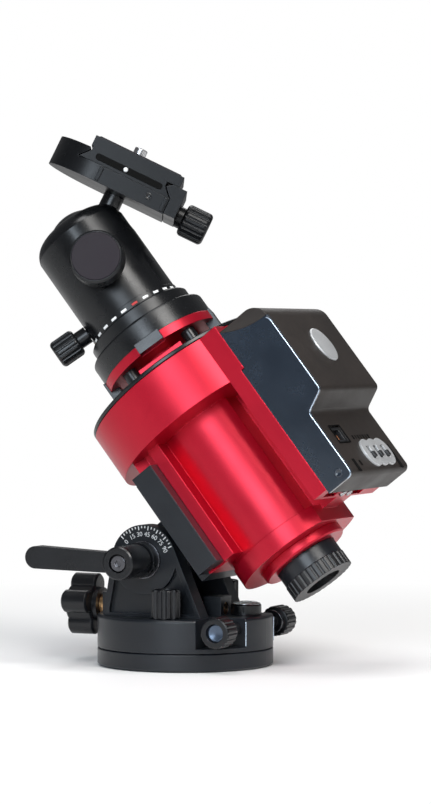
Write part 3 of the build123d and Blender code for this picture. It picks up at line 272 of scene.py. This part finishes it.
class Piece:
    """One mesh in the row frame, built from turned, extruded and swept shapes given in local millimetres."""

    def __init__(self, name, body, finish):
        self.name, self.body, self.finish = name, body, finish
        self.mesh = bmesh.new()

    def ring_faces(self, rings, closed):
        """Faces between each ring of corners and the next; a ring may be a single corner."""
        count = max(len(ring) for ring in rings)
        pairs = list(zip(rings, rings[1:]))
        if closed:
            pairs.append((rings[-1], rings[0]))
        for low, high in pairs:
            for k in range(count):
                ends = [ring[j % len(ring)] for ring, j in ((low, k), (low, k + 1), (high, k + 1), (high, k))]
                unique = list(dict.fromkeys(ends))
                if len(unique) > 2:
                    self.mesh.faces.new(unique)

    def turned(self, matrix, profile, segments, closed=False):
        """A turned shape about the local z from (radius, z) points; radius 0 closes it on the axis."""
        rings = []
        for radius, z in profile:
            count = segments if radius > 1e-6 else 1
            angles = [TAU * k / count for k in range(count)]
            points = [Vector((radius * math.cos(a), radius * math.sin(a), z)) for a in angles]
            rings.append([self.mesh.verts.new(matrix @ p) for p in points])
        self.ring_faces(rings, closed)

    def prism(self, matrix, outline, low, high, bevel=0.0):
        """An extruded outline with bevelled edges."""
        part = bmesh.new()
        rings = [[part.verts.new((x, y, z)) for x, y in outline] for z in (low, high)]
        part.faces.new(rings[0])
        part.faces.new(rings[1])
        count = len(outline)
        for k in range(count):
            j = (k + 1) % count
            part.faces.new((rings[0][k], rings[0][j], rings[1][j], rings[1][k]))
        bmesh.ops.recalc_face_normals(part, faces=part.faces)
        if bevel:
            edges = list(part.edges)
            bmesh.ops.bevel(part, geom=edges, offset=bevel, segments=2, affect="EDGES", clamp_overlap=True)
        self.absorb(part, matrix)

    def box(self, matrix, x0, x1, y0, y1, z0, z1, bevel):
        """A block with bevelled edges."""
        self.prism(matrix, ((x0, y0), (x1, y0), (x1, y1), (x0, y1)), z0, z1, bevel)

    def absorb(self, part, matrix):
        """Moves another mesh's shape into this one."""
        part.transform(matrix)
        scratch = bpy.data.meshes.new("scratch")
        part.to_mesh(scratch)
        part.free()
        self.mesh.from_mesh(scratch)
        bpy.data.meshes.remove(scratch)

    def swept(self, matrix, points, radius):
        """A round bar along a line of points, with flat ends."""
        points = [Vector(p) for p in points]
        rings = []
        for k, point in enumerate(points):
            along = (points[min(k + 1, len(points) - 1)] - points[max(k - 1, 0)]).normalized()
            side = along.orthogonal() if k == 0 else (side - along * side.dot(along))
            side.normalize()
            across = along.cross(side)
            angles = [TAU * j / BAR_SIDES for j in range(BAR_SIDES)]
            ring = [point + (side * math.cos(a) + across * math.sin(a)) * radius for a in angles]
            rings.append([self.mesh.verts.new(matrix @ p) for p in ring])
        self.ring_faces(rings, False)
        self.mesh.faces.new(rings[0])
        self.mesh.faces.new(rings[-1])

    def text(self, matrix, words, size, depth):
        """Extruded digits, centred on the local origin and read from +z."""
        curve = bpy.data.curves.new("digits", "FONT")
        curve.body, curve.size, curve.extrude = words, size, depth
        curve.align_x, curve.align_y = "CENTER", "CENTER"
        holder = bpy.data.objects.new("digits", curve)
        bpy.context.scene.collection.objects.link(holder)
        depsgraph = bpy.context.evaluated_depsgraph_get()
        flat = bpy.data.meshes.new_from_object(holder.evaluated_get(depsgraph))
        flat.transform(matrix)
        self.mesh.from_mesh(flat)
        bpy.data.meshes.remove(flat)
        bpy.data.objects.remove(holder)
        bpy.data.curves.remove(curve)

    def done(self):
        """Finishes the mesh and puts it on its body."""
        bmesh.ops.recalc_face_normals(self.mesh, faces=self.mesh.faces)
        for face in self.mesh.faces:
            face.smooth = True
        for edge in self.mesh.edges:
            edge.smooth = len(edge.link_faces) == 2 and edge.calc_face_angle(0) < SHARP_ANGLE
        data = bpy.data.meshes.new(self.name)
        self.mesh.to_mesh(data)
        self.mesh.free()
        data.materials.append(MATERIALS[self.finish])
        thing = bpy.data.objects.new(self.name, data)
        bpy.context.scene.collection.objects.link(thing)
        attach(thing, self.body)


def rounded(corners, radius):
    """An outline with each corner rounded."""
    points = []
    count = len(corners)
    for k in range(count):
        here = Vector(corners[k])
        before = Vector(corners[k - 1]) - here
        after = Vector(corners[(k + 1) % count]) - here
        half = before.angle(after) / 2
        reach = min(radius / math.tan(half), before.length * 0.49, after.length * 0.49)
        start, end = here + before.normalized() * reach, here + after.normalized() * reach
        for j in range(CORNER_STEPS + 1):
            t = j / CORNER_STEPS
            points.append(tuple((start * (1 - t) + here * t) * (1 - t) + (here * (1 - t) + end * t) * t))
    return points


# ---------------------------------------------------------------- wedge base details

SIDES = ((-1, "near"), (1, "far"))  # sign of the row's Y, and the name of that side
BASE_TOP = 24.0
SCALE_START, SCALE_SPREAD = 25, 1.25  # first angle of the scale, and its angle for each degree of latitude
SHORT_TICK_R, LONG_TICK_R, TICK_END_R = 14.7, 13.9, 15.8
DIGIT_R, DIGIT_SIZE, PAINT_DEPTH = 11.9, 3.0, 0.06
LEVEL_LIQUID = ((0, 2.65), (4.4, 2.65), (4.55, 2.8), (4.55, 4.7), (4.3, 4.9), (0, 4.9))
LEVEL_BUBBLE = ((0, 0), (1.3, 0.02), (1.7, 0.12), (1.3, 0.28), (0, 0.4))
LEVEL_RING = ((2.2, 5.93), (2.5, 5.93), (2.5, 6.05), (2.2, 6.05))
LEVEL_BEZEL = ((5.95, 4.95), (6.9, 4.95), (6.8, 5.25), (6.2, 5.4), (5.95, 5.35))
POCKET_X, POCKET_Y, POCKET_LOW, POCKET_HIGH = 38.15, 16.05, 11.2, 22.4
SCREW_FACE_Y = 40.0
SCREW_BUTTON = (
    (0, -3.5),
    (4.1, -3.5),
    (4.2, -3.3),
    (4.2, -2.3),
    (3.6, -1.9),
    (2.6, -2.2),
    (1.2, -2.6),
    (0, -2.7),
)
SCREW_COLLAR = ((5.22, -14.0), (5.45, -13.8), (5.45, -11.0), (5.22, -10.7))


def middle(name):
    """Centre of a node's box, in metres."""
    low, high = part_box(name)
    return (low + high) / 2


def scale_turn(degree):
    """Frame of the latitude scale, turned to one of its degrees."""
    return SCALE @ Matrix.Rotation(math.radians(SCALE_START + degree * SCALE_SPREAD), 4, "Z")


def latitude_scale():
    """Ticks and digits on the near arm's round head."""
    ticks = Piece("latitude_scale", "azimuth_turn", "white")
    for degree in range(0, 91, 5):
        start = SHORT_TICK_R if degree % 15 else LONG_TICK_R
        ticks.box(scale_turn(degree), start, TICK_END_R, -0.26, 0.26, 0.0, 0.14, 0.03)
    for degree in range(0, 91, 15):
        spot = scale_turn(degree) @ Matrix.Translation((DIGIT_R, 0, PAINT_DEPTH))
        upright = spot @ Matrix.Rotation(-math.pi / 2, 4, "Z")
        ticks.text(upright, str(90 - degree), DIGIT_SIZE, PAINT_DEPTH)
    ticks.done()


def level_details():
    """Liquid, bubble, printed ring and bezel of the round level."""
    centre = middle("level_cup")
    level = place((centre.x, centre.y, BASE_TOP * MM), (0, 0, 1), (1, 0, 0))
    liquid = Piece("level_liquid", "azimuth_turn", "liquid")
    liquid.turned(level, LEVEL_LIQUID, 48)
    liquid.done()
    bubble = Piece("level_bubble", "azimuth_turn", "vial")
    bubble.turned(level @ Matrix.Translation((0.4, -0.3, 4.94)), LEVEL_BUBBLE, 32)
    bubble.done()
    circle = Piece("level_ring", "azimuth_turn", "dark")
    circle.turned(level, LEVEL_RING, 48, closed=True)
    circle.done()
    bezel = Piece("level_bezel", "azimuth_turn", "steel")
    bezel.turned(level, LEVEL_BEZEL, 64, closed=True)
    bezel.done()


def pocket_glints():
    """Painted highlight: a bright line down one edge of each thumbscrew pocket."""
    for side, name in SIDES:
        line = [(POCKET_X, side * POCKET_Y, z) for z in (POCKET_LOW, POCKET_HIGH)]
        edge = Piece(f"pocket_glint_{name}", "azimuth_turn", "painted_glint")
        edge.swept(ROW, line, 0.32)
        edge.done()


def thumbscrew_details():
    """Button in the face of each thumbscrew, and a collar behind its knob."""
    for side, name in SIDES:
        screw = f"azimuth_screw_{name}"
        centre = middle(screw)
        face = place((centre.x, side * SCREW_FACE_Y * MM, centre.z), (0, side, 0), (1, 0, 0))
        button = Piece(f"screw_button_{name}", screw, "button")
        button.turned(face, SCREW_BUTTON, 48)
        button.done()
        collar = Piece(f"screw_collar_{name}", screw, "gunmetal")
        collar.turned(face, SCREW_COLLAR, 48, closed=True)
        collar.done()


latitude_scale()
level_details()
pocket_glints()
thumbscrew_details()

# ---------------------------------------------------------------- electronics case details

# faces of the case and of its plate, in the head's own frame
CASE_U, CASE_STEP_U, CASE_V = 65.8, 54.8, 36.0
COVER_U, COVER_TOP_A, STEP_HIGH_A, STEP_LOW_A, CASE_LOW_A = 40.5, -12.2, -54.3, -59.4, -94.0
PLATE_LOW_A, PLATE_MID_U = -92.0, 36.4
CASE_OUT = facing(HEAD, (CASE_U, 0, 0), (1, 0, 0), (0, 1, 0))
CASE_LOW = facing(HEAD, (CASE_STEP_U, 0, 0), (1, 0, 0), (0, 1, 0))
PLATE_END = facing(HEAD, (0, 0, PLATE_LOW_A), (0, 0, -1), (0, 1, 0))
SIDE = facing(HEAD, (0, -CASE_V, 0), (0, -1, 0), (1, 0, 0))

# radius, inset and start of the painted highlight line along the cover's edge
GLINT_R, GLINT_INSET, GLINT_START_U = 0.3, 0.2, 47.0
BADGE = ((0, 0.02), (9.3, 0.02), (9.3, 0.5), (8.9, 0.85), (8.2, 0.95), (0, 1.15))
BADGE_V, BADGE_A = 5.0, -29.5
PORT_V, PORT_A = -19.0, -72.2
PIN_COUNT, PIN_START, PIN_STEP, PIN_WIDTH = 6, -2.9, 1.05, 0.55
BEZEL_V, BEZEL_A, BEZEL_LONG, BEZEL_END = 6.6, 5.0, 4.4, 6.2  # half sizes, outside and inside
MARK_WIDTHS = (1.6, 0.8, 1.4, 1.2, 1.6, 1.0, 1.8)
MARK_START, MARK_STEP = -5.5, 3.1
VENT_SHADOWS = ((-25.5, -22.5, -93.0, -86.0), (-18.6, -16.8, -90.0, -87.0), (26.5, 29.5, -93.5, -80.0))
PLATE_SCREW = ((1.0, 0.15), (1.1, 1.1), (1.5, 1.25), (1.9, 0.9), (1.95, 0.02), (0, 0.02), (0, 0.15))
PLATE_SCREW_V = (-9.6, -2.4)
PLUG = ((0, 0.01), (2.0, 0.01), (2.0, 0.12), (1.7, 0.3), (0.8, 0.16), (0, 0.12))
PLUG_U, PLUG_A = 49.6, -89.5


def cover_glint():
    """Painted highlight: a bright line round the outer side of the glossy side cover, standing in for the
    gloss on its rounded edge.
    """
    corners = (
        (COVER_U, COVER_TOP_A),
        (CASE_U, COVER_TOP_A),
        (CASE_U, STEP_HIGH_A),
        (CASE_STEP_U, STEP_LOW_A),
        (CASE_STEP_U, CASE_LOW_A),
        (COVER_U, CASE_LOW_A),
    )
    top = COVER_TOP_A - GLINT_R
    line = [(x - GLINT_INSET, y, -0.22) for x, y in rounded(corners, 3.0) if x > GLINT_START_U and y < top]
    glint = Piece("cover_edge_glint", "tilt", "painted_glint")
    glint.swept(SIDE, line, GLINT_R)
    glint.done()


def badge_disc():
    """Plain disc on the outer panel."""
    badge = Piece("badge_disc", "tilt", "silver")
    badge.turned(CASE_OUT @ Matrix.Translation((BADGE_V, BADGE_A, 0)), BADGE, 72)
    badge.done()


def guide_port_details():
    """Contacts inside the guide port, and the bezel round it."""
    port = CASE_LOW @ Matrix.Translation((PORT_V, PORT_A, 0))
    contacts = Piece("port_contacts", "tilt", "copper")
    contacts.box(port, -3.6, 3.6, -2.0, 0.6, -4.4, -2.4, 0.2)
    for k in range(PIN_COUNT):
        start = PIN_START + k * PIN_STEP
        contacts.box(port, start, start + PIN_WIDTH, -2.2, 0.9, -2.6, -2.2, 0.08)
    contacts.done()
    bezel = Piece("port_bezel", "tilt", "dark")
    for x0, x1, y0, y1 in (
        (-BEZEL_V, BEZEL_V, BEZEL_LONG, BEZEL_A),
        (-BEZEL_V, BEZEL_V, -BEZEL_A, -BEZEL_LONG),
        (-BEZEL_V, -BEZEL_END, -BEZEL_LONG, BEZEL_LONG),
        (BEZEL_END, BEZEL_V, -BEZEL_LONG, BEZEL_LONG),
    ):
        bezel.box(port, x0, x1, y0, y1, 0.02, 0.45, 0.1)
    bezel.done()


def switch_marks():
    """Printed marks above the switches, and flat dark patches near the corners painted as the shade inside
    small vents.
    """
    marks = Piece("switch_marks", "tilt", "dark")
    for k, width in enumerate(MARK_WIDTHS):
        x = MARK_START + k * MARK_STEP
        marks.box(CASE_LOW, x - width / 2, x + width / 2, -75.6, -73.4, 0.01, 0.1, 0.03)
    # painted shade: flat dark patches in place of the vent openings
    for x0, x1, y0, y1 in VENT_SHADOWS:
        marks.box(CASE_LOW, x0, x1, y0, y1, 0.01, 0.16, 0.05)
    marks.done()


def plate_screws():
    """Two screws between the pockets in the plate's lower end."""
    screws = Piece("plate_screws", "tilt", "steel")
    for v in PLATE_SCREW_V:
        screws.turned(PLATE_END @ Matrix.Translation((v, PLATE_MID_U, 0)), PLATE_SCREW, 32)
    screws.done()


def cover_plug():
    """Screw plug in the side cover."""
    plug = Piece("cover_plug", "tilt", "gloss")
    plug.turned(SIDE @ Matrix.Translation((PLUG_U, PLUG_A, 0)), PLUG, 40)
    plug.done()


cover_glint()
badge_disc()
guide_port_details()
switch_marks()
plate_screws()
cover_plug()

# ---------------------------------------------------------------- head and camera plate details

SCALE_STEPS = 24
PAN_SCALE_START = -62  # direction of the scale's first stroke, in degrees
STROKE_R0, STROKE_R1, STROKE_HALF, STROKE_A0, STROKE_A1 = 23.4, 23.66, 1.5, 37.2, 38.4
CLAMP_SIDE, PLATE_SIDE, PLATE_TOP = -24.0, -23.0, 20.0  # faces of the clamp and of the camera plate
# outline of the painted shadow where the plate meets the clamp
SLOT_SHADOW_CORNERS = ((-15.0, 9.6), (19.5, 9.6), (19.5, 12.8), (-15.0, 12.8))
RIB_X, RIB_WIDTH = (-10.8, 22.6), 2.0
STOP_PIN = ((1.2, 0.1), (1.2, 0.7), (0.9, 1.05), (0, 1.2))
SET_SCREW = ((1.7, 0.02), (1.7, 0.35), (1.3, 0.5), (0.8, 0.15), (0, 0.1))
PAD_ROWS, RIDGES, RIDGE_EDGE, RIDGE_HALF = ((-21.5, -5.5), (5.5, 21.5)), 9, 1.2, 0.45


def pan_scale():
    """Painted strokes round the foot of the ball housing."""
    marked = {"red_paint": {0, 12}, "cream": {6, 18}}
    marked["white"] = set(range(SCALE_STEPS)) - marked["red_paint"] - marked["cream"]
    for finish, steps in marked.items():
        strokes = Piece(f"pan_scale_{finish}", "polar_axis", finish)
        for k in sorted(steps):
            angle = PAN_SCALE_START + 360 / SCALE_STEPS * k
            turn = HEAD @ Matrix.Rotation(math.radians(angle), 4, "Z")
            strokes.box(turn, STROKE_R0, STROKE_R1, -STROKE_HALF, STROKE_HALF, STROKE_A0, STROKE_A1, 0.04)
        strokes.done()


def clamp_details():
    """Painted shadow of the gap in the plate's near end, a stop pin there, and ribs and set screw on the
    clamp's near side.
    """
    plate_side = facing(CLAMP, (0, PLATE_SIDE, 0), (0, -1, 0), (1, 0, 0))
    near_side = facing(CLAMP, (0, CLAMP_SIDE, 0), (0, -1, 0), (1, 0, 0))
    # painted shadow: a thin dark sheet where the gap between the plate and the clamp lies in shade
    slot = Piece("plate_slot_shadow", "clamp", "dark")
    slot.prism(plate_side, rounded(SLOT_SHADOW_CORNERS, 1.5), 0.01, 0.12)
    slot.done()
    ribs = Piece("clamp_end_ribs", "clamp", "satin")
    for x in RIB_X:
        ribs.box(near_side, x, x + RIB_WIDTH, 0.5, 7.7, 0.01, 0.8, 0.35)
    ribs.done()
    pin = Piece("plate_stop_pin", "clamp", "silver")
    pin.turned(plate_side @ Matrix.Translation((0.5, 11.2, 0)), STOP_PIN, 32)
    pin.done()
    set_screw = Piece("clamp_set_screw", "clamp", "anodised")
    set_screw.turned(near_side @ Matrix.Translation((15.5, 4.6, 0)), SET_SCREW, 32)
    set_screw.done()


def plate_pads():
    """Ribbed rubber pads on top of the camera plate."""
    pads = Piece("plate_pads", "clamp", "rubber")
    for low, high in PAD_ROWS:
        pads.box(CLAMP, -17.5, 25.5, low, high, PLATE_TOP, PLATE_TOP + 0.35, 0.12)
        step = (high - low - 2 * RIDGE_EDGE) / (RIDGES - 1)
        for k in range(RIDGES):
            y = low + RIDGE_EDGE + k * step
            near, far = y - RIDGE_HALF, y + RIDGE_HALF
            pads.box(CLAMP, -17.0, 25.0, near, far, PLATE_TOP + 0.3, PLATE_TOP + 0.7, 0.15)
    pads.done()


pan_scale()
clamp_details()
plate_pads()

# ---------------------------------------------------------------- floor, light and camera

FLOOR_HALF, FLOOR_DROP = 9, 0.0002
FADE_START, FADE_END = 0.12, 0.5  # metres from the object over which the floor turns white
LIT_POINT = Vector((0.015, 0.0, 0.125))  # where every softbox points


def pale_floor():
    """Pale floor; far from the object the camera sees plain white, which lights nothing."""
    floor = Nodes("pale_floor")
    pale = floor.mix(floor.noise(400.0), (0.86, 0.86, 0.86, 1), (0.9, 0.9, 0.9, 1))
    floor.link(pale, floor.shader.inputs["Base Color"])
    floor.shader.inputs["Roughness"].default_value = 0.9
    reach = floor.add("ShaderNodeVectorMath", {0: floor.coords}, operation="LENGTH").outputs["Value"]
    far = floor.scaled(reach, 0.0, 1.0, FADE_START, FADE_END)
    seen = floor.add("ShaderNodeLightPath").outputs["Is Camera Ray"]
    white = floor.add("ShaderNodeMath", {0: far, 1: seen}, operation="MULTIPLY")
    glow = floor.add("ShaderNodeEmission", {"Color": (1, 1, 1, 1), "Strength": 1.0})
    fade = floor.add("ShaderNodeMixShader", {0: white.outputs[0]})
    floor.link(floor.shader.outputs[0], fade.inputs[1])
    floor.link(glow.outputs[0], fade.inputs[2])
    floor.link(fade.outputs[0], floor.tree.nodes["Material Output"].inputs[0])
    signs = ((-1, -1), (1, -1), (1, 1), (-1, 1))
    corners = [(x * FLOOR_HALF, y * FLOOR_HALF, -FLOOR_DROP) for x, y in signs]
    data = bpy.data.meshes.new("floor")
    data.from_pydata(corners, [], [(0, 1, 2, 3)])
    data.materials.append(floor.material)
    plane = bpy.data.objects.new("floor", data)
    bpy.context.scene.collection.objects.link(plane)


def studio_world():
    """White behind the object for the camera, and soft ambient light for everything else."""
    world = bpy.data.worlds.new("studio")
    bpy.context.scene.world = world
    world.use_nodes = True
    tree = world.node_tree
    seen = tree.nodes.new("ShaderNodeBackground")
    seen.inputs["Color"].default_value = (1.0, 1.0, 1.0, 1)
    seen.inputs["Strength"].default_value = 1.0
    ambient = tree.nodes["Background"]
    ambient.inputs["Color"].default_value = (0.96, 0.97, 1.0, 1)
    ambient.inputs["Strength"].default_value = 0.16
    ray = tree.nodes.new("ShaderNodeLightPath")
    blend = tree.nodes.new("ShaderNodeMixShader")
    tree.links.new(ray.outputs["Is Camera Ray"], blend.inputs[0])
    tree.links.new(ambient.outputs[0], blend.inputs[1])
    tree.links.new(seen.outputs[0], blend.inputs[2])
    tree.links.new(blend.outputs[0], tree.nodes["World Output"].inputs[0])


def softbox(name, azimuth, elevation, distance, size, power, colour=(1, 1, 1)):
    """A square softbox; azimuth 0 is on the -Y side and grows towards +X."""
    a, e = math.radians(azimuth), math.radians(elevation)
    outward = Vector((math.sin(a) * math.cos(e), -math.cos(a) * math.cos(e), math.sin(e)))
    data = bpy.data.lights.new(name, "AREA")
    data.shape, data.size, data.energy, data.color = "SQUARE", size, power, colour
    lamp = bpy.data.objects.new(name, data)
    bpy.context.scene.collection.objects.link(lamp)
    lamp.location = LIT_POINT + outward * distance
    lamp.rotation_mode = "QUATERNION"
    lamp.rotation_quaternion = (LIT_POINT - lamp.location).to_track_quat("-Z", "Y")


def camera_view(azimuth, distance, drop, shift, height):
    """Camera on the -Y side, turned by azimuth towards +X; drop is how far its aim falls on the way."""
    data = bpy.data.cameras.new("camera")
    data.sensor_width, data.lens = 36, 140
    data.clip_start, data.clip_end = 0.05, 50
    camera = bpy.data.objects.new("camera", data)
    bpy.context.scene.collection.objects.link(camera)
    bpy.context.scene.camera = camera
    turn = math.radians(azimuth)
    ahead = Vector((-math.sin(turn), math.cos(turn), 0))
    across = Vector((math.cos(turn), math.sin(turn), 0))
    start, end = shift
    camera.location = ahead * -distance + across * start + Vector((0, 0, height))
    look = ahead * distance + across * (end - start) + Vector((0, 0, -drop))
    camera.rotation_mode = "QUATERNION"
    camera.rotation_quaternion = look.to_track_quat("-Z", "Y")


pale_floor()
studio_world()
softbox("key", 52, 42, 1.6, 0.7, 19, (1, 0.98, 0.95))
softbox("front", 8, 16, 1.6, 0.7, 14, (0.8, 0.9, 1))
softbox("top", -10, 78, 1.5, 0.7, 10)
softbox("rim", 200, 40, 1.7, 0.8, 6)
camera_view(azimuth=27, distance=1.470, drop=0.0307, shift=(-0.0543, 0.0142), height=0.154)
bpy.context.scene.view_settings.view_transform = "Standard"
bpy.context.scene.cycles.max_bounces = 8
